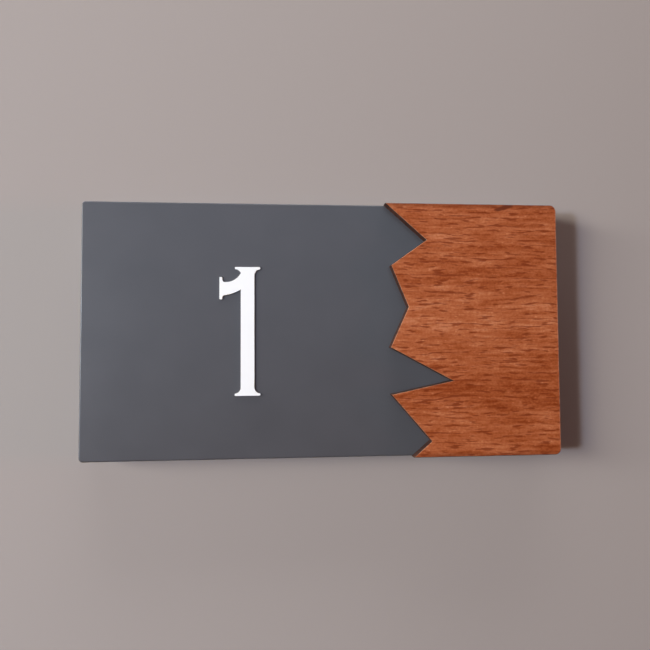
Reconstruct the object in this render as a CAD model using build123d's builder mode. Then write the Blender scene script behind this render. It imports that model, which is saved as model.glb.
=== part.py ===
"""House number plaque for a wall: an anthracite board, a zigzag-cut wood overlay and a serif numeral.

The board carries the wood overlay over its right half and the flat numeral on the bare left half.
Strips of foam tape behind the board hold the plaque to the wall.

Frame: +X to the right, +Z up, the face looks along -Y. The origin is the middle of the wall plane,
where the backs of the tape strips lie. All sizes are in millimetres.
"""

import os

from build123d import *

# Board
plaque_width = 150.0
plaque_height = 80.0
board_thickness = 8.0
board_corner_radius = 1.2
board_edge_radius = 0.5

# Foam tape behind the board
tape_width = 19.0
tape_thickness = 1.0
tape_inset = 10.0

# Wood overlay: its tips reach this far left of the plaque's right edge
overlay_thickness = 3.0
overlay_reach = 54.6
overlay_corner_radius = 2.0
overlay_arris = 0.2

# Zigzag cut of the overlay's left edge, from the top edge down to the bottom edge: each corner's
# place down the plaque's height, from 0 to 1, and how far it lies inside the line of the tips
zigzag_corners = [
    (0.0, -1.3),
    (0.146, 11.8),
    (0.247, 0.4),
    (0.412, 5.85),
    (0.571, 0.0),
    (0.703, 19.7),
    (0.755, 0.15),
    (0.938, 12.75),
    (1.0, 7.0),
]

# Numeral: its middle lies this far right of and below the middle of the bare field
numeral_height = 40.1
numeral_thickness = 0.5
numeral_shift = 0.75
numeral_drop = 0.35
stem_width = 4.2
serif_width = 7.9
serif_thickness = 0.65
serif_end_radius = 0.25
bracket_rise = 1.95
notch_drop = 1.9
notch_radius = 0.25

# Flag of the numeral: lengths run left from the stem's axis, drops run down from the numeral's top
flag_reach = 8.7
flag_bar_width = 0.85
flag_bar_drop = 3.15
flag_bar_height = 7.0
flag_bar_radius = 0.25
flag_bracket_radius = 0.9
flag_level_reach = 1.1
flag_upper_drop = 4.75
flag_lower_drop = 8.8
flag_root_drop = 6.95
flag_belly = 0.25

os.makedirs("parts", exist_ok=True)

wall_plane = Plane.XZ
board_back = wall_plane.offset(tape_thickness)
board_face = board_back.offset(board_thickness)

right_edge = plaque_width / 2
top_edge = plaque_height / 2
tip_line = right_edge - overlay_reach

# Board with rounded corners and eased front and back rims
with BuildPart() as base_board:
    with BuildSketch(board_back):
        RectangleRounded(plaque_width, plaque_height, board_corner_radius)
    extrude(amount=board_thickness)
    board_faces = base_board.faces().sort_by(Axis.Y)
    fillet(board_faces[0].edges() + board_faces[-1].edges(), board_edge_radius)
base_board.part.label = "base_board"
export_step(base_board.part, "parts/base_board.step")

# Wood overlay, flush with the board on three sides and cut to the zigzag on its left
zigzag_line = [(tip_line + inset, top_edge - place * plaque_height) for place, inset in zigzag_corners]
with BuildPart() as wood_overlay:
    with BuildSketch(board_face):
        with BuildLine():
            Polyline(*zigzag_line, (right_edge, -top_edge), (right_edge, top_edge), close=True)
        make_face()
        fillet(vertices().group_by(Axis.X)[-1], overlay_corner_radius)
    extrude(amount=overlay_thickness)
    chamfer(wood_overlay.faces().sort_by(Axis.Y)[0].edges(), overlay_arris)
wood_overlay.part.label = "wood_overlay"
export_step(wood_overlay.part, "parts/wood_overlay.step")

# Numeral: a stem between two bracketed serifs, with a flag that ends in an upright bar
field_middle = (tip_line - right_edge) / 2
numeral_right = field_middle + numeral_shift + (flag_reach + serif_width / 2) / 2
numeral_plane = board_face.move(Location((numeral_right - serif_width / 2, -numeral_drop)))

stem = stem_width / 2
serif = serif_width / 2
top = numeral_height / 2
shoulder = top - serif_thickness
bracket_end = shoulder - bracket_rise
notch = (-stem, top - notch_drop)

flag_bar_right = flag_bar_width - flag_reach
flag_bar_top = top - flag_bar_drop
flag_bar_bottom = flag_bar_top - flag_bar_height
flag_level_end = flag_bar_right + flag_level_reach
flag_upper = top - flag_upper_drop
flag_lower = top - flag_lower_drop
flag_root = (-stem, top - flag_root_drop)

serif_ends = [(x, z) for x in (-serif, serif) for z in (-top, -shoulder, shoulder, top)]
flag_bar_ends = [(x, z) for x in (-flag_reach, flag_bar_right) for z in (flag_bar_bottom, flag_bar_top)]
flag_brackets = [(flag_bar_right, flag_lower), (flag_bar_right, flag_upper)]

with BuildPart() as numeral_one:
    with BuildSketch(numeral_plane):
        with BuildLine():
            # Top serif and its bracket, right side of the stem, bottom serif and left side up to the flag
            TangentArc((-serif, shoulder), notch, tangent=(1, 0))
            Polyline((-serif, shoulder), (-serif, top), (serif, top), (serif, shoulder))
            TangentArc((stem, bracket_end), (serif, shoulder), tangent=(0, 1))
            Line((stem, bracket_end), (stem, -bracket_end))
            TangentArc((stem, -bracket_end), (serif, -shoulder), tangent=(0, -1))
            Polyline((serif, -shoulder), (serif, -top), (-serif, -top), (-serif, -shoulder))
            TangentArc((-stem, -bracket_end), (-serif, -shoulder), tangent=(0, -1))
            Line((-stem, -bracket_end), flag_root)
            # Flag, out along its full lower edge, round its end bar and back along its hollow upper edge
            SagittaArc(flag_root, (flag_level_end, flag_lower), flag_belly)
            Polyline(
                (flag_level_end, flag_lower),
                (flag_bar_right, flag_lower),
                (flag_bar_right, flag_bar_bottom),
                (-flag_reach, flag_bar_bottom),
                (-flag_reach, flag_bar_top),
                (flag_bar_right, flag_bar_top),
                (flag_bar_right, flag_upper),
                (flag_level_end, flag_upper),
            )
            TangentArc((flag_level_end, flag_upper), notch, tangent=(1, 0))
        make_face()
        # Soft ends of the serifs and the bar, hollow corners of the bar and the notch above the flag
        fillet([vertices().sort_by_distance(corner)[0] for corner in serif_ends], serif_end_radius)
        fillet([vertices().sort_by_distance(corner)[0] for corner in flag_bar_ends], flag_bar_radius)
        fillet([vertices().sort_by_distance(corner)[0] for corner in flag_brackets], flag_bracket_radius)
        fillet(vertices().sort_by_distance(notch)[0], notch_radius)
    extrude(amount=numeral_thickness)
numeral_one.part.label = "numeral_one"
export_step(numeral_one.part, "parts/numeral_one.step")

# Foam tape strips, upright, at both ends and in the middle of the board's back
tape_length = plaque_height - 2 * tape_inset
tape_spacing = right_edge - tape_inset - tape_width / 2
for side, name in ((-1, "left"), (0, "middle"), (1, "right")):
    with BuildPart() as tape_strip:
        with BuildSketch(wall_plane):
            with Locations((side * tape_spacing, 0)):
                Rectangle(tape_width, tape_length)
        extrude(amount=tape_thickness)
    tape_strip.part.label = f"{name}_tape_strip"
    export_step(tape_strip.part, f"parts/{name}_tape_strip.step")
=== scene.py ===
"""Looks of the house number plaque: its finishes, foam tape, wall, light and camera.

Places are in metres in the part's own frame: +X to the right, +Z up, the face looks along -Y and
the wall lies at y = 0. The patterns of the finishes are laid out in millimetres of the object's
own coordinates.
"""

from __future__ import annotations

import logging
import math
from dataclasses import dataclass
from enum import Enum
from typing import Any, ClassVar, Mapping, Sequence, Union

import bpy
from mathutils import Matrix, Vector

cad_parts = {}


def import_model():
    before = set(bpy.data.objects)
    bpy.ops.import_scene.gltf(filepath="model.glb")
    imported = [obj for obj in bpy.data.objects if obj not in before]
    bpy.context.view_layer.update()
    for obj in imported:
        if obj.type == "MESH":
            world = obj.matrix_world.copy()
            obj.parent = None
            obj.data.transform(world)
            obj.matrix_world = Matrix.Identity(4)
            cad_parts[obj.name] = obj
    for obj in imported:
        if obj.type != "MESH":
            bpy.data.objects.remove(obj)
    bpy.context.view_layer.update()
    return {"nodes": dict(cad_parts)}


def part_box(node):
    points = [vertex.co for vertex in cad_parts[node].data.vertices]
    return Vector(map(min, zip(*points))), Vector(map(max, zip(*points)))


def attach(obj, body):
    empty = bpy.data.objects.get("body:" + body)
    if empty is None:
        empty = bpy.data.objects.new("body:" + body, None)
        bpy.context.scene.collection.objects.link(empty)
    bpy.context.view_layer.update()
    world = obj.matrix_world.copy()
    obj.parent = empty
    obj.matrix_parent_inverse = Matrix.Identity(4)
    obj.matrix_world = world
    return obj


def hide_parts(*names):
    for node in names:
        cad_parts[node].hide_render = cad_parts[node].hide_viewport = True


LOG = logging.getLogger("plaque")
BODY = "root"
MM = 0.001
Color = tuple[float, float, float]
Span = tuple[float, float]
Number = Union[float, "Value"]
# Dark brown of the flaw, and of the char and painted shade along the top and bottom edges.
SCORCHED_AND_SHADED_WOOD: Color = (0.11, 0.018, 0.004)


def rgba(color: Color) -> tuple[float, float, float, float]:
    """The colour with full alpha, as a socket takes it."""
    return (*color, 1.0)


def scaled(color: Color, factor: float) -> Color:
    """The colour, lighter or darker by a factor."""
    return tuple(channel * factor for channel in color)


class Value:
    """A socket that takes part in Python arithmetic: each operation adds a Math node."""

    def __init__(self, tree: NodeTree, socket: bpy.types.NodeSocket) -> None:
        """Wraps one output socket of a tree."""
        self.tree = tree
        self.socket = socket

    def __add__(self, other: Number) -> Value:
        """Sum."""
        return self.tree.math("ADD", self, other)

    __radd__ = __add__

    def __sub__(self, other: Number) -> Value:
        """Difference."""
        return self.tree.math("SUBTRACT", self, other)

    def __rsub__(self, other: Number) -> Value:
        """Difference from a number."""
        return self.tree.math("SUBTRACT", other, self)

    def __mul__(self, other: Number) -> Value:
        """Product."""
        return self.tree.math("MULTIPLY", self, other)

    __rmul__ = __mul__

    def __truediv__(self, other: Number) -> Value:
        """Quotient."""
        return self.tree.math("DIVIDE", self, other)

    def __abs__(self) -> Value:
        """Size without sign."""
        return self.tree.math("ABSOLUTE", self)

    def sign(self) -> Value:
        """1 above zero, -1 below it."""
        return self.tree.math("SIGN", self)

    def over(self, limit: Number) -> Value:
        """1 where the value passes a limit, 0 elsewhere."""
        return self.tree.math("GREATER_THAN", self, limit)

    def most(self, other: Number) -> Value:
        """The larger of two values."""
        return self.tree.math("MAXIMUM", self, other)

    def step(self, low: Number, high: Number) -> Value:
        """A smooth rise from 0 at low to 1 at high."""
        ends = {0: self, 1: low, 2: high}
        return self.tree.value("ShaderNodeMapRange", {"interpolation_type": "SMOOTHSTEP"}, ends)


class NodeTree:
    """A node tree, and the nodes that shaders and geometry share."""

    def __init__(self, tree: bpy.types.NodeTree) -> None:
        """Takes over a node tree, emptied."""
        self.nodes = tree.nodes
        self.links = tree.links
        self.nodes.clear()

    def node(
        self,
        kind: str,
        settings: Mapping[str, Any] | None = None,
        sockets: Mapping[str | int, Any] | None = None,
    ) -> bpy.types.Node:
        """Adds a node.

        Args:
            kind: The node's type.
            settings: Its properties, which are set first. "stops" fills a colour ramp.
            sockets: Numbers, colours or links for its inputs, by name or index.

        Returns:
            The node.
        """
        node = self.nodes.new(kind)
        for name, setting in (settings or {}).items():
            if name == "stops":
                self._fill_ramp(node.color_ramp, setting)
            else:
                setattr(node, name, setting)
        for key, value in (sockets or {}).items():
            if isinstance(value, Value):
                self.links.new(value.socket, node.inputs[key])
            else:
                node.inputs[key].default_value = value
        return node

    @staticmethod
    def _fill_ramp(ramp: bpy.types.ColorRamp, stops: Sequence[tuple[float, Color]]) -> None:
        """Gives a colour ramp its stops, the two that it starts with first."""
        while len(ramp.elements) < len(stops):
            ramp.elements.new(1.0)
        for element, (position, color) in zip(ramp.elements, stops):
            element.position = position
            element.color = rgba(color)

    def value(
        self,
        kind: str,
        settings: Mapping[str, Any] | None = None,
        sockets: Mapping[str | int, Any] | None = None,
        output: str | int = 0,
    ) -> Value:
        """Adds a node and wraps one of its outputs."""
        return Value(self, self.node(kind, settings, sockets).outputs[output])

    def math(self, operation: str, *terms: Number) -> Value:
        """Adds a Math node over the terms."""
        return self.value("ShaderNodeMath", {"operation": operation}, dict(enumerate(terms)))

    def vector(self, x: Number, y: Number, z: Number = 0.0) -> Value:
        """A vector of three values."""
        return self.value("ShaderNodeCombineXYZ", sockets={0: x, 1: y, 2: z})

    def parts(self, vector: Value) -> list[Value]:
        """The X, Y and Z of a vector."""
        outputs = self.node("ShaderNodeSeparateXYZ", sockets={0: vector}).outputs
        return [Value(self, output) for output in outputs]

    def noise(self, place: Value, detail: float = 2.0, roughness: float = 0.5) -> Value:
        """Noise within about -0.5 to 0.5, with features about a unit of place across."""
        sockets = {"Vector": place, "Scale": 1.0, "Detail": detail, "Roughness": roughness}
        return self.value("ShaderNodeTexNoise", {"noise_dimensions": "3D"}, sockets) - 0.5


class ShaderTree(NodeTree):
    """The nodes of one material or world.

    Attributes:
        MIX_SHARE: The Mix node's input for the share of the second colour.
        MIX_FIRST: Its input for the first colour, which shares its name with other inputs.
        MIX_SECOND: Its input for the second colour.
        MIX_RESULT: Its output for the mixed colour.
        DOT_RESULT: The Vector Math node's output for a number.
    """

    MIX_SHARE: ClassVar[int] = 0
    MIX_FIRST: ClassVar[int] = 6
    MIX_SECOND: ClassVar[int] = 7
    MIX_RESULT: ClassVar[int] = 2
    DOT_RESULT: ClassVar[int] = 1

    def __init__(self, owner: bpy.types.Material | bpy.types.World) -> None:
        """Takes over the owner's node tree."""
        owner.use_nodes = True
        super().__init__(owner.node_tree)

    def millimetres(self) -> list[Value]:
        """The object's own X, Y and Z in millimetres."""
        return [part / MM for part in self.parts(self.value("ShaderNodeTexCoord", output="Object"))]

    def cells(self, place: Value) -> tuple[Value, Value, Value]:
        """Scattered points, one to a unit cell.

        Args:
            place: Where the pattern is read.

        Returns:
            The distance to the nearest point, and two random numbers of that point.
        """
        settings = {"voronoi_dimensions": "2D", "feature": "F1"}
        sockets = {"Vector": place, "Scale": 1.0}
        points = self.node("ShaderNodeTexVoronoi", settings, sockets).outputs
        color = Value(self, points["Color"])
        random = self.node("ShaderNodeSeparateColor", sockets={0: color}).outputs
        return Value(self, points["Distance"]), Value(self, random[0]), Value(self, random[1])

    def mix(self, share: Number, first: Color | Value, second: Color | Value) -> Value:
        """A colour between two, by the share of the second."""
        sockets = {self.MIX_SHARE: share}
        for key, color in ((self.MIX_FIRST, first), (self.MIX_SECOND, second)):
            sockets[key] = color if isinstance(color, Value) else rgba(color)
        return self.value("ShaderNodeMix", {"data_type": "RGBA"}, sockets, self.MIX_RESULT)

    def dot(self, first: Value, second: Sequence[float]) -> Value:
        """The dot product of two vectors."""
        sockets = {0: first, 1: second}
        settings = {"operation": "DOT_PRODUCT"}
        return self.value("ShaderNodeVectorMath", settings, sockets, self.DOT_RESULT)

    def ramp(self, tone: Value, stops: Sequence[tuple[float, Color]]) -> Value:
        """The colour of a tone on a ramp."""
        return self.value("ShaderNodeValToRGB", {"stops": stops}, {0: tone})

    def bump(self, height: Value, relief: float) -> Value:
        """A normal from a height, where a height of 1 stands up by relief millimetres."""
        sockets = {"Height": height, "Distance": relief * MM, "Strength": 1.0}
        return self.value("ShaderNodeBump", sockets=sockets)


@dataclass(frozen=True)
class Surface:
    """What a finish says of its surface.

    Attributes:
        color: The colour, which changes over the surface.
        roughness: The roughness, which changes over the surface.
        normal: The normal, with the finish's relief.
        specular: The level of its reflection, the same all over.
    """

    color: Value
    roughness: Value
    normal: Value
    specular: float = 0.5


@dataclass(frozen=True)
class Finish:
    """A finish that becomes one node material.

    Attributes:
        name: The material's name.
    """

    name: str

    def surface(self, tree: ShaderTree) -> Surface:
        """The finish's surface, in nodes of the tree."""
        raise NotImplementedError

    def material(self) -> bpy.types.Material:
        """The finish as a new material."""
        material = bpy.data.materials.new(self.name)
        tree = ShaderTree(material)
        surface = self.surface(tree)
        sockets = {
            "Base Color": surface.color,
            "Roughness": surface.roughness,
            "Normal": surface.normal,
            "Specular IOR Level": surface.specular,
        }
        shader = tree.value("ShaderNodeBsdfPrincipled", sockets=sockets)
        tree.node("ShaderNodeOutputMaterial", sockets={"Surface": shader})
        return material


@dataclass(frozen=True)
class Pattern:
    """Noise with features of one size.

    Attributes:
        size: The size of a feature along X, Y and Z, in mm.
        detail: How many finer octaves it has.
        roughness: How strong the finer octaves are.
    """

    size: tuple[float, float, float]
    detail: float = 2.0
    roughness: float = 0.5

    def read(self, tree: ShaderTree, place: Sequence[Value]) -> Value:
        """The noise about 0 at a place in millimetres."""
        units = [part / size for part, size in zip(place, self.size)]
        return tree.noise(tree.vector(*units), self.detail, self.roughness)


@dataclass(frozen=True)
class GrainLayer:
    """Streaks of one size that lie along the grain.

    Attributes:
        length: The length of a streak, in mm.
        width: Its width, in mm.
        seed: What sets this layer apart from others.
        detail: How many finer octaves it has.
        weight: How strongly the layer counts where layers are added up.
    """

    length: float
    width: float
    seed: float
    detail: float = 2.0
    weight: float = 1.0

    def streaks(self, tree: ShaderTree, along: Value, across: Value) -> Value:
        """The streaks as noise about 0, along and across the grain in millimetres."""
        place = tree.vector(along / self.length, across / self.width, self.seed)
        return tree.noise(place, self.detail)


@dataclass(frozen=True)
class GrooveLayer:
    """Open grooves where a layer of the grain peaks.

    Attributes:
        layer: The layer whose peaks are the grooves.
        sharing: How strongly another layer moves these peaks up and down.
        edge: The levels at which a groove begins and is at its deepest.
    """

    layer: GrainLayer
    sharing: float
    edge: Span

    def depth(self, tree: ShaderTree, along: Value, across: Value, other: Value) -> Value:
        """How deep the grooves are.

        Args:
            tree: The tree to build in.
            along: Millimetres along the grain.
            across: Millimetres across the grain.
            other: The streaks of the other layer.

        Returns:
            The depth, from 0 on the face to 1 in a groove.
        """
        peaks = self.layer.streaks(tree, along, across) + other * self.sharing
        return peaks.step(*self.edge)


@dataclass(frozen=True)
class FleckLayer:
    """Small marks scattered along the grain.

    Attributes:
        spacing: How far apart the marks are, along and across the grain, in mm.
        radius: The radius of a mark, as a share of the spacing.
        share: The share of the marks that are there.
        tone: How much a mark adds to the tone.
        smallest: The radius of the smallest mark, as a share of the radius.
        variation: How much larger than that the largest one is, as a share of the radius.
        core: How far out a mark keeps its full tone, as a share of its own radius.
    """

    spacing: Span
    radius: float
    share: float
    tone: float
    smallest: float = 0.5
    variation: float = 0.8
    core: float = 0.35

    def shade(self, tree: ShaderTree, along: Value, across: Value) -> Value:
        """The tone that the marks add, along and across the grain in millimetres."""
        place = tree.vector(along / self.spacing[0], across / self.spacing[1])
        distance, size, chance = tree.cells(place)
        reach = self.radius * (size * self.variation + self.smallest)
        mark = 1.0 - distance.step(reach * self.core, reach)
        return mark * chance.over(1.0 - self.share) * self.tone


@dataclass(frozen=True)
class GrainBand:
    """A broad band of the veneer that is lighter or darker than the rest.

    Attributes:
        height: The height of its middle on the panel, in mm.
        half_width: How far it reaches to each side, in mm.
        tone: How much it adds to the tone.
    """

    height: float
    half_width: float
    tone: float

    def shade(self, across: Value) -> Value:
        """The tone that the band adds."""
        return (1.0 - abs(across - self.height).step(0.0, self.half_width)) * self.tone


@dataclass(frozen=True)
class DarkMark:
    """One slanted dark flaw in the veneer.

    Attributes:
        middle: Its middle on the panel, in mm along X and Z.
        half_size: Half its length and half its width, in mm.
        slant: How steeply it rises to the right, as a slope.
        color: Its colour.
        strength: How much of that colour it has in its middle.
        fray: How strongly the streaks of the grain fray its edge.
        edge: The levels between which it fades out, 1 being its even outline.
    """

    middle: Span
    half_size: Span
    slant: float
    color: Color
    strength: float = 0.9
    fray: float = 1.2
    edge: Span = (0.3, 1.1)

    def mask(self, x: Value, z: Value, streaks: Value) -> Value:
        """How much of the mark's colour there is at a place in millimetres."""
        along, rise = x - self.middle[0], z - self.middle[1]
        u, v = along / self.half_size[0], (rise - along * self.slant) / self.half_size[1]
        level = u * u + v * v + streaks * self.fray
        return (1.0 - level.step(*self.edge)) * self.strength


@dataclass(frozen=True)
class VeneerGrain:
    """The grain on the face of the veneer, along X.

    Attributes:
        tones: The colours of the wood from its darkest to its lightest tone.
        middle_tone: The tone that the layers lie about.
        fade: How much the tone falls with each mm to the right.
        fade_middle: Where the fade is nothing, in mm along X.
        fall: How steeply the grain falls to the right, as a slope.
        sway: Slow bends of the grain, whose weight is in mm.
        ripple: Small bends of the grain, whose weight is in mm.
        long_streaks: Long soft streaks.
        short_streaks: Short streaks between them.
        specks: The finest speckle.
        mottle: Patches of lighter and darker wood.
        bands: The broad lighter and darker bands.
        flecks: Small light marks.
        pores: The open pores, which gather in some patches of the mottle.
        lines: Long thin dark lines, which the short streaks break up.
        pore_color: The colour at the bottom of a pore.
        pore_share: How much of that colour a pore shows.
        flaw: The dark mark at the top edge.
        roughness: The roughness of the face.
        pore_roughness: How much rougher a pore is.
        speck_roughness: How strongly the speckle changes the roughness.
        speck_height: The height of the speckle, as a share of a pore's depth.
    """

    tones: tuple[tuple[float, Color], ...] = (
        (0.0, (0.145, 0.017, 0.001)),
        (0.3, (0.217, 0.037, 0.006)),
        (0.55, (0.318, 0.075, 0.0215)),
        (0.8, (0.416, 0.119, 0.044)),
        (1.0, (0.507, 0.177, 0.081)),
    )
    middle_tone: float = 0.66
    fade: float = 0.0018
    fade_middle: float = 45.0
    fall: float = 0.012
    sway: GrainLayer = GrainLayer(40.0, 16.0, 3.0, detail=1.0, weight=2.4)
    ripple: GrainLayer = GrainLayer(5.0, 2.0, 7.0, weight=0.25)
    long_streaks: GrainLayer = GrainLayer(11.0, 1.05, 1.0, weight=0.75)
    short_streaks: GrainLayer = GrainLayer(2.6, 1.00, 2.0, weight=0.60)
    specks: GrainLayer = GrainLayer(0.8, 0.65, 4.0, detail=1.0, weight=0.44)
    mottle: GrainLayer = GrainLayer(16.0, 3.4, 5.0, weight=0.85)
    bands: tuple[GrainBand, ...] = (
        GrainBand(4.0, 13.0, 0.13),
        GrainBand(17.0, 5.0, -0.07),
        GrainBand(-19.0, 9.0, -0.16),
    )
    flecks: FleckLayer = FleckLayer((2.6, 1.5), radius=0.17, share=0.22, tone=0.22)
    pores: GrooveLayer = GrooveLayer(
        GrainLayer(4.8, 0.82, 6.0, detail=1.0), sharing=0.3, edge=(0.05, 0.18)
    )
    lines: GrooveLayer = GrooveLayer(
        GrainLayer(24.0, 0.85, 8.0, detail=1.0), sharing=0.5, edge=(0.13, 0.26)
    )
    pore_color: Color = (0.158, 0.020, 0.0015)
    pore_share: float = 0.75
    flaw: DarkMark = DarkMark((57.7, 39.0), (3.6, 0.9), slant=0.29, color=SCORCHED_AND_SHADED_WOOD)
    roughness: float = 0.5
    pore_roughness: float = 0.2
    speck_roughness: float = 0.1
    speck_height: float = 0.4

    def paint(self, tree: ShaderTree, x: Value, z: Value) -> tuple[Value, Value, Value]:
        """The veneer's colour, roughness and height.

        Args:
            tree: The tree to build in.
            x: Millimetres along the panel.
            z: Millimetres up the panel.

        Returns:
            The colour, the roughness, and a height that is about 0 on the face and -1 in a pore.
        """
        across = z + x * self.fall
        for bend in (self.sway, self.ripple):
            across = across + bend.streaks(tree, x, z) * bend.weight
        layers = (self.long_streaks, self.short_streaks, self.specks, self.mottle)
        long, short, speck, patch = (layer.streaks(tree, x, across) for layer in layers)
        tone = self.middle_tone - (x - self.fade_middle) * self.fade
        for layer, streaks in zip(layers, (long, short, speck, patch)):
            tone = tone + streaks * layer.weight
        for band in self.bands:
            tone = tone + band.shade(across)
        tone = tone + self.flecks.shade(tree, x, across)
        pores = self.pores.depth(tree, x, across, patch)
        hollow = pores.most(self.lines.depth(tree, x, across, short))
        color = tree.mix(hollow * self.pore_share, tree.ramp(tone, self.tones), self.pore_color)
        color = tree.mix(self.flaw.mask(x, z, short), color, self.flaw.color)
        roughness = self.roughness + hollow * self.pore_roughness + speck * self.speck_roughness
        return color, roughness, speck * self.speck_height - hollow


@dataclass(frozen=True)
class PanelRim:
    """The veneer's rim: wear and a painted highlight where it is eased, char and painted shade at
    top and bottom.

    Attributes:
        arris: The width of the eased front edge, in mm. Depths are counted in these widths.
        sanded: How far from the right edge the sanding begins and is full, in mm.
        sanded_wear_and_highlight: How pale the sanded edge is, as wear and painted highlight, from
            0 to 1.
        sanded_depth: How much deeper the cut edge begins where it is sanded.
        cut_depth: The depths at which the cut edge begins and is full.
        worn_and_highlight_depth: The depth at which the eased edge is fully pale.
        rub_and_highlight: Patches where the pale edge shows.
        rub_and_highlight_edge: The levels of these patches at which the pale edge shows and is
            full.
        worn_and_highlight_color: The pale colour of the eased edge, partly wear and partly painted
            highlight.
        worn_and_highlight_share: How much of that colour shows at most.
        scorched_and_shaded: How far from the top and bottom edges the dark rim begins and is full,
            in mm.
        burn_and_shade: Patches of the dark rim.
        burn_and_shade_share: How much of the dark colour shows on average.
        scorch_and_shade_color: The colour of the dark rim, partly char and partly painted shade.
    """

    arris: float = 0.2
    sanded: Span = (0.50, 0.20)
    sanded_wear_and_highlight: float = 0.55
    sanded_depth: float = 0.8
    cut_depth: Span = (0.2, 0.6)
    worn_and_highlight_depth: float = 0.3
    rub_and_highlight: GrainLayer = GrainLayer(1.5, 1.5, 5.0)
    rub_and_highlight_edge: Span = (-0.25, 0.15)
    worn_and_highlight_color: Color = (0.62, 0.37, 0.24)
    worn_and_highlight_share: float = 0.75
    scorched_and_shaded: Span = (2.0, 0.4)
    burn_and_shade: GrainLayer = GrainLayer(9.0, 9.0, 9.0, weight=0.8)
    burn_and_shade_share: float = 0.38
    scorch_and_shade_color: Color = SCORCHED_AND_SHADED_WOOD

    def sanding(self, x: Value, right: float) -> Value:
        """1 at the sanded right edge, 0 away from it."""
        begins, full = self.sanded
        return x.step(right - begins, right - full)

    def cut(self, depth: Value, sanding: Value) -> Value:
        """1 on the cut edge, 0 on the face and the eased edge."""
        begins, full = self.cut_depth
        lowered = sanding * self.sanded_depth
        return depth.step(begins + lowered, full + lowered)

    def wear_and_highlight(self, tree: ShaderTree, x: Value, z: Value, depth: Value, sanding: Value) -> Value:
        """How much of the pale colour shows, as wear and painted highlight.

        Args:
            tree: The tree to build in.
            x: Millimetres along the panel.
            z: Millimetres up the panel.
            depth: The depth behind the face.
            sanding: Where the rim is sanded.

        Returns:
            The share of the pale colour.
        """
        # Pale paint on the eased edge and the sanded right edge: partly wear, partly a painted
        # highlight.
        wear_and_highlight_mask = depth.step(0.0, self.worn_and_highlight_depth).most(sanding * self.sanded_wear_and_highlight)
        return wear_and_highlight_mask * self.rub_and_highlight.streaks(tree, x, z).step(*self.rub_and_highlight_edge) * self.worn_and_highlight_share

    def scorch_and_shade(self, tree: ShaderTree, x: Value, z: Value, top: float) -> Value:
        """How much of the dark colour shows, as char and painted shade.

        Args:
            tree: The tree to build in.
            x: Millimetres along the panel.
            z: Millimetres up the panel.
            top: The height of the panel's top edge, in mm.

        Returns:
            The share of the dark colour.
        """
        # Darkens the face near the top and bottom edges: partly char, partly painted shade.
        begins, full = self.scorched_and_shaded
        burn_and_shade = self.burn_and_shade.streaks(tree, x, z) * self.burn_and_shade.weight + self.burn_and_shade_share
        return abs(z).step(top - begins, top - full) * burn_and_shade


@dataclass(frozen=True)
class CutEdge:
    """The cut edge of the panel, charred and darkened further as painted shade: fine lines through
    its thickness, some of them paler.

    Attributes:
        color: The colour of the charred wood, darkened further as painted shade.
        paleness: How much lighter the palest lines are, as a factor.
        lines: The fine lines.
        patches: Patches of paler and darker lines.
        edge: The levels at which a line begins to be paler and is palest.
    """

    color: Color = (0.030, 0.012, 0.008)
    paleness: float = 2.2
    lines: Pattern = Pattern((0.35, 6.0, 0.35))
    patches: Pattern = Pattern((5.0, 1.5, 5.0))
    edge: Span = (-0.25, 0.45)

    def paint(self, tree: ShaderTree, place: Sequence[Value]) -> Value:
        """The colour of the cut edge at a place in millimetres."""
        # The near-black edge colour is partly char, partly painted shade.
        pale = (self.lines.read(tree, place) + self.patches.read(tree, place)).step(*self.edge)
        return tree.mix(pale, self.color, scaled(self.color, self.paleness))


@dataclass(frozen=True)
class WoodVeneer(Finish):
    """Open-pored reddish-brown veneer with its grain along X, on a panel with charred cut edges,
    darkened further as painted shade.

    Attributes:
        face: The depth of the panel's face, in mm along Y.
        half: How far the panel reaches to the right and up from the middle of the plaque, in mm.
        grain: The grain of its face.
        rim: The rim of its face.
        edge: Its cut edge.
        edge_roughness: How much rougher the cut edge is than the face.
        relief: The depth of a pore, in mm.
        specular: The level of its reflection.
    """

    face: float
    half: Span
    grain: VeneerGrain = VeneerGrain()
    rim: PanelRim = PanelRim()
    edge: CutEdge = CutEdge()
    edge_roughness: float = 0.3
    relief: float = 0.03
    specular: float = 0.15

    def surface(self, tree: ShaderTree) -> Surface:
        """Grain on the face, its rim, and the cut edge behind the eased front edge."""
        x, y, z = tree.millimetres()
        right, top = self.half
        color, roughness, height = self.grain.paint(tree, x, z)
        depth = (y - self.face) / self.rim.arris
        sanding = self.rim.sanding(x, right)
        cut = self.rim.cut(depth, sanding)
        # The pale eased edge: partly wear, partly a painted highlight.
        color = tree.mix(self.rim.wear_and_highlight(tree, x, z, depth, sanding), color, self.rim.worn_and_highlight_color)
        # The dark top and bottom rim: partly char, partly painted shade.
        color = tree.mix(self.rim.scorch_and_shade(tree, x, z, top), color, self.rim.scorch_and_shade_color)
        return Surface(
            color=tree.mix(cut, color, self.edge.paint(tree, (x, y, z))),
            roughness=roughness + cut * self.edge_roughness,
            normal=tree.bump(height * (1.0 - cut), self.relief),
            specular=self.specular,
        )


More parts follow.
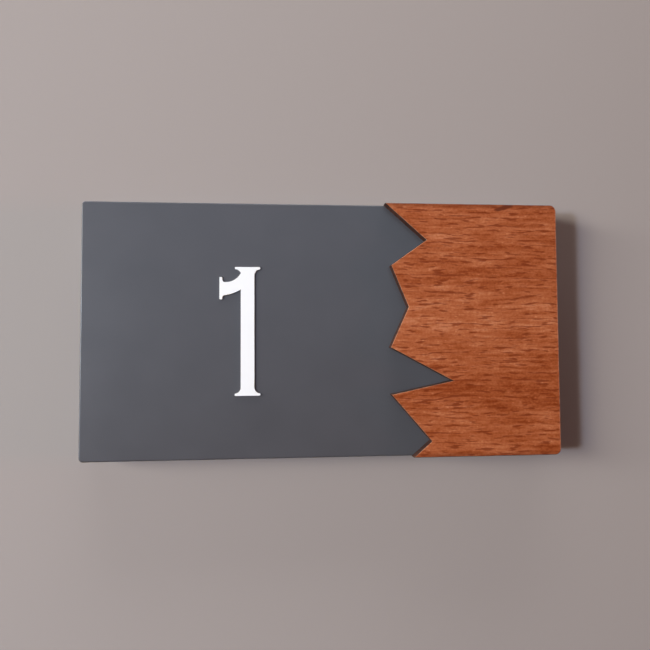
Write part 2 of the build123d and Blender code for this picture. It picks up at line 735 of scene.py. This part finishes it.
@dataclass(frozen=True)
class SatinPaint(Finish):
    """Anthracite coat with a fine orange peel and a slight mottle.

    Attributes:
        color: The coat's colour.
        unevenness: How far the colour strays to each side, as a share of it.
        sheen_roughness: The coat's roughness.
        peel: The orange peel.
        mottle: The mottle.
        grit: Fine grit in the coat.
        mottle_tone: How strongly the mottle counts in the colour.
        grit_tone: How strongly the grit counts in the colour.
        mottle_roughness: How strongly the mottle changes the roughness.
        grit_roughness: How strongly the grit changes the roughness.
        grit_height: The height of the grit, as a share of the peel's.
        relief: The height of the peel, in mm.
        specular: The level of its reflection.
    """

    color: Color = (0.0720, 0.0680, 0.0740)
    unevenness: float = 0.12
    sheen_roughness: float = 0.34
    peel: Pattern = Pattern((0.8, 0.8, 0.8))
    mottle: Pattern = Pattern((14.0, 14.0, 14.0), detail=3.0)
    grit: Pattern = Pattern((0.25, 0.25, 0.25), detail=1.0)
    mottle_tone: float = 0.8
    grit_tone: float = 0.5
    mottle_roughness: float = 0.1
    grit_roughness: float = 0.08
    grit_height: float = 0.5
    relief: float = 0.012
    specular: float = 0.3

    def surface(self, tree: ShaderTree) -> Surface:
        """The coat, a little uneven in colour, gloss and height."""
        place = tree.millimetres()
        patterns = (self.peel, self.mottle, self.grit)
        peel, mottle, grit = (pattern.read(tree, place) for pattern in patterns)
        tone = mottle * self.mottle_tone + grit * self.grit_tone + 0.5
        dark, light = (scaled(self.color, 1.0 + sign * self.unevenness) for sign in (-1, 1))
        gloss = self.sheen_roughness + mottle * self.mottle_roughness
        return Surface(
            color=tree.mix(tone, dark, light),
            roughness=gloss + grit * self.grit_roughness,
            normal=tree.bump(peel + grit * self.grit_height, self.relief),
            specular=self.specular,
        )


@dataclass(frozen=True)
class WhiteAcrylic(Finish):
    """White satin sheet with a faint haze of fine scratches.

    Attributes:
        color: The sheet's colour.
        dulling: The colour where the haze is darkest, as a share of the sheet's.
        haze: The haze.
        scratches: The fine scratches, mostly upright.
        haze_tone: How strongly the haze counts in the colour.
        roughness: The sheet's roughness.
        haze_roughness: How strongly the haze changes it.
        scratch_roughness: How strongly the scratches change it.
        relief: The depth of a scratch, in mm.
    """

    color: Color = (0.93, 0.93, 0.935)
    dulling: float = 0.96
    haze: Pattern = Pattern((2.5, 2.5, 2.5), detail=3.0)
    scratches: Pattern = Pattern((0.12, 0.5, 3.0))
    haze_tone: float = 0.9
    roughness: float = 0.36
    haze_roughness: float = 0.12
    scratch_roughness: float = 0.1
    relief: float = 0.004

    def surface(self, tree: ShaderTree) -> Surface:
        """The sheet, with its haze in colour and gloss."""
        place = tree.millimetres()
        haze, scratches = (pattern.read(tree, place) for pattern in (self.haze, self.scratches))
        tone = haze * self.haze_tone + 0.5
        gloss = self.roughness + haze * self.haze_roughness
        return Surface(
            color=tree.mix(tone, scaled(self.color, self.dulling), self.color),
            roughness=gloss + scratches * self.scratch_roughness,
            normal=tree.bump(scratches + haze, self.relief),
        )


@dataclass(frozen=True)
class ClosedCellFoam(Finish):
    """White closed-cell foam between two smooth adhesive faces.

    Attributes:
        middle: The depth of the middle of the foam, in mm along Y.
        half: Half the foam's thickness, in mm.
        film: How far out the film of a face begins and is full, as shares of that half.
        foam_color: The colour of the foam on its cut sides.
        foam_shade: The colour inside its cells, as a share of it.
        adhesive_color: The colour of the two faces.
        adhesive_shade: The colour of their darker blotches, as a share of it.
        cells: The cells.
        blotches: The blotches of the adhesive.
        streaks: Streaks along the tape.
        cell_edge: The levels at which a cell is darkest and ends.
        blotch_edge: The levels at which a blotch is darkest and ends.
        roughness: The roughness of the foam.
        film_gloss: How much smoother the film is.
        blotch_roughness: How strongly the blotches change the roughness.
        film_cover: How much of the cells' relief the film fills.
        streak_height: The height of the streaks, as a share of the cells'.
        relief: The height of the cells, in mm.
    """

    middle: float
    half: float
    film: Span = (0.90, 0.98)
    foam_color: Color = (0.74, 0.73, 0.70)
    foam_shade: float = 0.72
    adhesive_color: Color = (0.66, 0.63, 0.55)
    adhesive_shade: float = 0.85
    cells: Pattern = Pattern((0.22, 0.22, 0.22), roughness=0.6)
    blotches: Pattern = Pattern((6.0, 6.0, 6.0), detail=3.0)
    streaks: Pattern = Pattern((0.9, 1.0, 18.0))
    cell_edge: Span = (-0.3, 0.2)
    blotch_edge: Span = (-0.3, 0.3)
    roughness: float = 0.85
    film_gloss: float = 0.42
    blotch_roughness: float = 0.1
    film_cover: float = 0.8
    streak_height: float = 0.3
    relief: float = 0.06

    def surface(self, tree: ShaderTree) -> Surface:
        """Cells on the cut sides, and a smoother, yellower film on the two faces."""
        place = tree.millimetres()
        begins, full = (share * self.half for share in self.film)
        film = abs(place[1] - self.middle).step(begins, full)
        patterns = (self.cells, self.blotches, self.streaks)
        cell, blotch, streak = (pattern.read(tree, place) for pattern in patterns)
        shaded_foam = scaled(self.foam_color, self.foam_shade)
        shaded_adhesive = scaled(self.adhesive_color, self.adhesive_shade)
        foam = tree.mix(cell.step(*self.cell_edge), shaded_foam, self.foam_color)
        adhesive = tree.mix(blotch.step(*self.blotch_edge), shaded_adhesive, self.adhesive_color)
        height = cell * (1.0 - film * self.film_cover) + streak * self.streak_height
        return Surface(
            color=tree.mix(film, foam, adhesive),
            roughness=self.roughness - film * self.film_gloss + blotch * self.blotch_roughness,
            normal=tree.bump(height, self.relief),
        )


def dress(node: bpy.types.Object, finish: Finish) -> None:
    """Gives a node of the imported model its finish.

    Args:
        node: The node's object.
        finish: The finish of all its surfaces.
    """
    for slot in node.material_slots:
        slot.material = finish.material()
    LOG.info("%s dressed in %s", node.name, finish.name)


@dataclass
class Board:
    """The painted board that carries the rest.

    Attributes:
        node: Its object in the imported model.
    """

    node: bpy.types.Object

    def dress(self) -> None:
        """Paints the board."""
        dress(self.node, SatinPaint("anthracite_coat"))


@dataclass
class WoodOverlay:
    """The zigzag-cut panel on the board's right.

    Attributes:
        node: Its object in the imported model.
    """

    node: bpy.types.Object

    def dress(self) -> None:
        """Lays the veneer on the panel."""
        low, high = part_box(self.node.name)
        half = (high.x / MM, high.z / MM)
        dress(self.node, WoodVeneer("red_brown_veneer", face=low.y / MM, half=half))


@dataclass
class Numeral:
    """The flat white numeral.

    Attributes:
        node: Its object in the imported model.
    """

    node: bpy.types.Object

    def dress(self) -> None:
        """Makes the numeral white."""
        dress(self.node, WhiteAcrylic("white_acrylic"))


class StripTree(NodeTree):
    """The Geometry Nodes tree of a strip of tape, slit along its sides and cut by hand at its ends.

    Attributes:
        INPUTS: The tree's inputs and their types.
        SEED_STEP: How far apart the noise of two seeds is read.
        SIDE_STEP: How far to each side of that the noise of the two sides is read.
        END_STEP: How far to each side of it the noise of the two ends is read.
        SIDE_WAVE: The length of a wave along a side, in metres.
        END_WAVE: The length of a wave across an end, in metres.
        SIDE_SHARE: How far a side wanders, as a share of an end.
        RIM: Points farther out than this share of the strip's size are on its rim.
    """

    INPUTS: ClassVar[Mapping[str, str]] = {
        "Size": "NodeSocketVector",
        "Middle": "NodeSocketVector",
        "Mesh Step": "NodeSocketFloat",
        "Wander": "NodeSocketFloat",
        "Skew": "NodeSocketFloat",
        "Pinch": "NodeSocketFloat",
        "Seed": "NodeSocketFloat",
        "Finish": "NodeSocketMaterial",
    }
    SEED_STEP: ClassVar[float] = 17.3
    SIDE_STEP: ClassVar[float] = 5.0
    END_STEP: ClassVar[float] = 9.0
    SIDE_WAVE: ClassVar[float] = 14.0 * MM
    END_WAVE: ClassVar[float] = 5.0 * MM
    SIDE_SHARE: ClassVar[float] = 0.3
    RIM: ClassVar[float] = 0.499

    def __init__(self) -> None:
        """Builds the tree."""
        self.group = bpy.data.node_groups.new("foam_tape_strip", "GeometryNodeTree")
        super().__init__(self.group)
        for name, kind in self.INPUTS.items():
            self.group.interface.new_socket(name, in_out="INPUT", socket_type=kind)
        self.group.interface.new_socket("Strip", in_out="OUTPUT", socket_type="NodeSocketGeometry")
        outputs = self.node("NodeGroupInput").outputs
        given = {name: Value(self, outputs[name]) for name in self.INPUTS}
        counts = [length / given["Mesh Step"] + 1.0 for length in self.parts(given["Size"])]
        sockets = {"Size": given["Size"], **dict(enumerate(counts, 1))}
        block = self.value("GeometryNodeMeshCube", sockets=sockets)
        sockets = {"Geometry": block, "Position": self._place(given)}
        strip = self.value("GeometryNodeSetPosition", sockets=sockets)
        strip = self.value("GeometryNodeRealizeInstances", sockets={"Geometry": strip})
        sockets = {"Geometry": strip, "Material": given["Finish"]}
        strip = self.value("GeometryNodeSetMaterial", sockets=sockets)
        self.node("NodeGroupOutput", sockets={"Strip": strip})

    def _place(self, given: Mapping[str, Value]) -> Value:
        """Where a point of the plain block goes: the cut sides give way inwards.

        Args:
            given: The tree's inputs by name.

        Returns:
            The point's new place.
        """
        x, y, z = self.parts(self.value("GeometryNodeInputPosition"))
        width, thickness, length = self.parts(given["Size"])
        waist = y / thickness * 2.0
        hollow = (1.0 - waist * waist) * given["Pinch"]
        seed = given["Seed"] * self.SEED_STEP
        slit = self.noise(self.vector(seed + x.sign() * self.SIDE_STEP, z / self.SIDE_WAVE)) + 0.5
        cut = self.noise(self.vector(seed + z.sign() * self.END_STEP, x / self.END_WAVE)) + 0.5
        lean = x / width * z.sign() + 0.5
        side_give = hollow + slit * given["Wander"] * self.SIDE_SHARE
        end_give = hollow + cut * given["Wander"] + lean * given["Skew"]
        side = abs(x).over(width * self.RIM) * side_give
        end = abs(z).over(length * self.RIM) * end_give
        moved = self.vector(x - x.sign() * side, y, z - z.sign() * end)
        sockets = {0: moved, 1: given["Middle"]}
        return self.value("ShaderNodeVectorMath", {"operation": "ADD"}, sockets)


class TapePlace(Enum):
    """Where a strip of tape lies behind the board, by its node."""

    LEFT = "left_tape_strip"
    MIDDLE = "middle_tape_strip"
    RIGHT = "right_tape_strip"


@dataclass
class FoamTape:
    """The strips of foam tape behind the board.

    Attributes:
        wander: How far a hand-cut end wanders, in metres.
        skew: How far a cut runs out of square across the tape, in metres.
        pinch: How far the foam gives way between its two faces, in metres.
        mesh_step: The size of the mesh's faces, in metres.
    """

    wander: float = 0.30 * MM
    skew: float = 0.50 * MM
    pinch: float = 0.12 * MM
    mesh_step: float = 0.5 * MM

    def build(self) -> None:
        """Makes a strip in place of each node."""
        low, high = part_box(TapePlace.MIDDLE.value)
        middle, half = (low.y + high.y) / 2 / MM, (high.y - low.y) / 2 / MM
        tree, material = StripTree(), ClosedCellFoam("white_foam", middle, half).material()
        for seed, place in enumerate(TapePlace):
            strip = self._strip(place, tree, material, seed)
            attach(strip, BODY)
            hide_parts(place.value)
            LOG.info("%s built with %d faces", strip.name, len(strip.data.polygons))

    def _strip(
        self, place: TapePlace, tree: StripTree, material: bpy.types.Material, seed: int
    ) -> bpy.types.Object:
        """Shapes a strip.

        Args:
            place: Which strip it is.
            tree: The tree that shapes it.
            material: Its material.
            seed: What its cut ends are drawn from.

        Returns:
            The strip, as a plain mesh.
        """
        name = place.value.replace("tape_strip", "foam_tape")
        strip = bpy.data.objects.new(name, bpy.data.meshes.new(name))
        bpy.context.scene.collection.objects.link(strip)
        low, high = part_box(place.value)
        given = {
            "Size": high - low,
            "Middle": (high + low) / 2,
            "Mesh Step": self.mesh_step,
            "Wander": self.wander,
            "Skew": self.skew,
            "Pinch": self.pinch,
            "Seed": float(seed),
            "Finish": material,
        }
        modifier = strip.modifiers.new("strip", "NODES")
        modifier.node_group = tree.group
        for socket in tree.group.interface.items_tree:
            if socket.in_out == "INPUT":
                modifier[socket.identifier] = given[socket.name]
        shaped = strip.evaluated_get(bpy.context.evaluated_depsgraph_get())
        strip.data = bpy.data.meshes.new_from_object(shaped)
        strip.modifiers.clear()
        return strip


class WallSide(Enum):
    """Which side of the wall a lamp shines on, as the sign of Y there."""

    FRONT = -1.0
    BACK = 1.0


@dataclass(frozen=True)
class Lamp:
    """A rectangular area lamp that is aimed at the middle of the plaque.

    Attributes:
        name: The lamp's name.
        place: Where it stands, in metres.
        size: Its width and height, in metres.
        share: About how bright it makes a white wall at the middle of its beam, 1 being white.
        tint: The colour of its light.
        spread: The angle that its light fans out to, in degrees.
        side: The side of the wall that it shines on.
    """

    name: str
    place: tuple[float, float, float]
    size: Span
    share: float
    tint: Color = (1.0, 1.0, 1.0)
    spread: float = 180.0
    side: WallSide = WallSide.FRONT

    def build(self) -> None:
        """Adds the lamp, with the power that its share takes."""
        place = Vector(self.place)
        slant = place.y * self.side.value / place.length
        half_spread = math.radians(self.spread / 2.0)
        focus = 1.0 - half_spread / math.tan(half_spread)
        data = bpy.data.lights.new(self.name, "AREA")
        data.color = self.tint
        data.shape = "RECTANGLE"
        data.size, data.size_y = self.size
        data.spread = 2.0 * half_spread
        # Pi squared watts from a metre away make a white wall white, and a narrow beam takes less
        data.energy = self.share * math.pi**2 * place.length_squared / slant * focus
        lamp = bpy.data.objects.new(self.name, data)
        lamp.location = place
        lamp.rotation_euler = (-place).to_track_quat("-Z", "Y").to_euler()
        lamp.visible_camera = False
        bpy.context.scene.collection.objects.link(lamp)


@dataclass(frozen=True)
class Studio:
    """A pale wall behind the plaque, lamps on both sides of it and a pale surround.

    Attributes:
        wall_half: Half the wall's width and height, in metres.
        wall_gap: How far the wall lies behind the tape, in metres.
        wall_color: The wall's colour.
        near: Light from within this distance passes the wall, so that the back is lit too.
        surround: The surround's colour where it is seen.
        ambient: The light that the surround gives.
        low_reflection: What gloss reflects of the surround's lower part.
        high_reflection: What gloss reflects of its upper part.
        high_side: The direction of the upper part.
        blend: How far to each side of the level the two parts blend, as a rise in that direction.
        lamps: The lamps.
    """

    wall_half: float = 1.5
    wall_gap: float = 0.1 * MM
    wall_color: Color = (0.364, 0.322, 0.305)
    near: float = 5.0 * MM
    surround: Color = (0.86, 0.85, 0.84)
    ambient: Color = (0.064, 0.046, 0.040)
    low_reflection: Color = (0.20, 0.20, 0.20)
    high_reflection: Color = (1.25, 1.65, 2.10)
    high_side: tuple[float, float, float] = (-0.30, 0.0, 0.95)
    blend: float = 0.3
    lamps: tuple[Lamp, ...] = (
        Lamp("key_lamp", (-0.72, -0.69, 0.0), (0.07, 0.07), 0.27, (0.78, 1.00, 1.40)),
        Lamp("near_fill", (-0.74, -0.62, 0.0), (0.30, 0.18), 0.25, (1.08, 1.00, 0.78)),
        Lamp("side_fill", (-3.50, -1.60, 0.70), (2.00, 0.80), 0.34, (1.00, 1.00, 0.93)),
        Lamp("top_fill", (0.0, -0.10, 0.50), (0.50, 0.10), 0.23, spread=60.0),
        Lamp("right_fill", (3.00, -0.60, 0.0), (0.60, 0.60), 0.03, (1.80, 0.40, 0.20)),
        Lamp("back_fill", (0.35, 0.60, 0.45), (0.60, 0.60), 0.60, side=WallSide.BACK),
    )

    def build(self) -> None:
        """Adds the wall, the surround and the lamps."""
        self._wall()
        self._surround()
        for lamp in self.lamps:
            lamp.build()

    def _wall(self) -> None:
        """Adds the wall, which shows from the front alone."""
        half, gap = self.wall_half, self.wall_gap
        mesh = bpy.data.meshes.new("pale_wall")
        corners = [(-half, gap, -half), (half, gap, -half), (half, gap, half), (-half, gap, half)]
        mesh.from_pydata(corners, [], [(0, 1, 2, 3)])
        material = bpy.data.materials.new("pale_wall")
        tree = ShaderTree(material)
        path = tree.node("ShaderNodeLightPath").outputs
        behind = tree.value("ShaderNodeNewGeometry", output="Backfacing")
        close = 1.0 - Value(tree, path["Ray Length"]).over(self.near)
        unseen = behind.most(close * (1.0 - Value(tree, path["Is Camera Ray"])))
        paint = tree.value("ShaderNodeBsdfDiffuse", sockets={"Color": rgba(self.wall_color)})
        clear = tree.value("ShaderNodeBsdfTransparent")
        shader = tree.value("ShaderNodeMixShader", sockets={0: unseen, 1: paint, 2: clear})
        tree.node("ShaderNodeOutputMaterial", sockets={"Surface": shader})
        mesh.materials.append(material)
        wall = bpy.data.objects.new("pale_wall", mesh)
        bpy.context.scene.collection.objects.link(wall)

    def _surround(self) -> None:
        """Sets the world: pale where it is seen, paler above in reflections, dim as a light."""
        world = bpy.data.worlds.new("pale_surround")
        bpy.context.scene.world = world
        tree = ShaderTree(world)
        path = tree.node("ShaderNodeLightPath").outputs
        rays = ("Camera", "Glossy", "Transmission")
        camera, glossy, through = (Value(tree, path[f"Is {ray} Ray"]) for ray in rays)
        height = tree.dot(tree.value("ShaderNodeTexCoord", output="Object"), self.high_side)
        upper = height.step(-self.blend, self.blend)
        reflected = tree.mix(upper, self.low_reflection, self.high_reflection)
        light = tree.mix(glossy, self.ambient, reflected)
        color = tree.mix(camera.most(through), light, self.surround)
        shader = tree.value("ShaderNodeBackground", sockets={"Color": color, "Strength": 1.0})
        tree.node("ShaderNodeOutputWorld", sockets={"Surface": shader})


@dataclass(frozen=True)
class PhotoCamera:
    """The camera at the photograph's place, close in front of the plaque, a little left and low.

    Attributes:
        focal_px: The focal length, in pixels of the frame.
        frame_px: The side of the square frame, in pixels.
        place: Where the camera stands, in millimetres.
        level: The turn that brings a camera from looking down to looking ahead, in degrees.
        turn_right: How far it looks to the right of straight on, in degrees.
        tilt_up: How far it looks up, in degrees.
        roll: How far it is turned about its own line of sight, in degrees.
        nearest: The nearest distance that it sees, in metres.
    """

    focal_px: float = 526.4
    frame_px: float = 650.0
    place: tuple[float, float, float] = (-12.6, -174.7, -5.25)
    level: float = 90.0
    turn_right: float = 4.37
    tilt_up: float = 2.33
    roll: float = -0.31
    nearest: float = 0.01

    def build(self) -> None:
        """Adds the camera and makes it the scene's."""
        data = bpy.data.cameras.new("photo_camera")
        data.lens = data.sensor_width * self.focal_px / self.frame_px
        data.clip_start = self.nearest
        camera = bpy.data.objects.new("photo_camera", data)
        turns = ((-self.turn_right, "Z"), (self.level + self.tilt_up, "X"), (self.roll, "Z"))
        matrix = Matrix.Translation(Vector(self.place) * MM)
        for angle, axis in turns:
            matrix = matrix @ Matrix.Rotation(math.radians(angle), 4, axis)
        camera.matrix_world = matrix
        bpy.context.scene.collection.objects.link(camera)
        bpy.context.scene.camera = camera


def main() -> None:
    """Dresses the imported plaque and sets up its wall, light and camera."""
    logging.basicConfig(level=logging.INFO, format="%(name)s: %(message)s")
    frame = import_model()
    nodes = frame["nodes"]
    Board(nodes["base_board"]).dress()
    WoodOverlay(nodes["wood_overlay"]).dress()
    Numeral(nodes["numeral_one"]).dress()
    FoamTape().build()
    Studio().build()
    PhotoCamera().build()
    bpy.context.scene.view_settings.view_transform = "Standard"


if __name__ == "__main__":
    main()
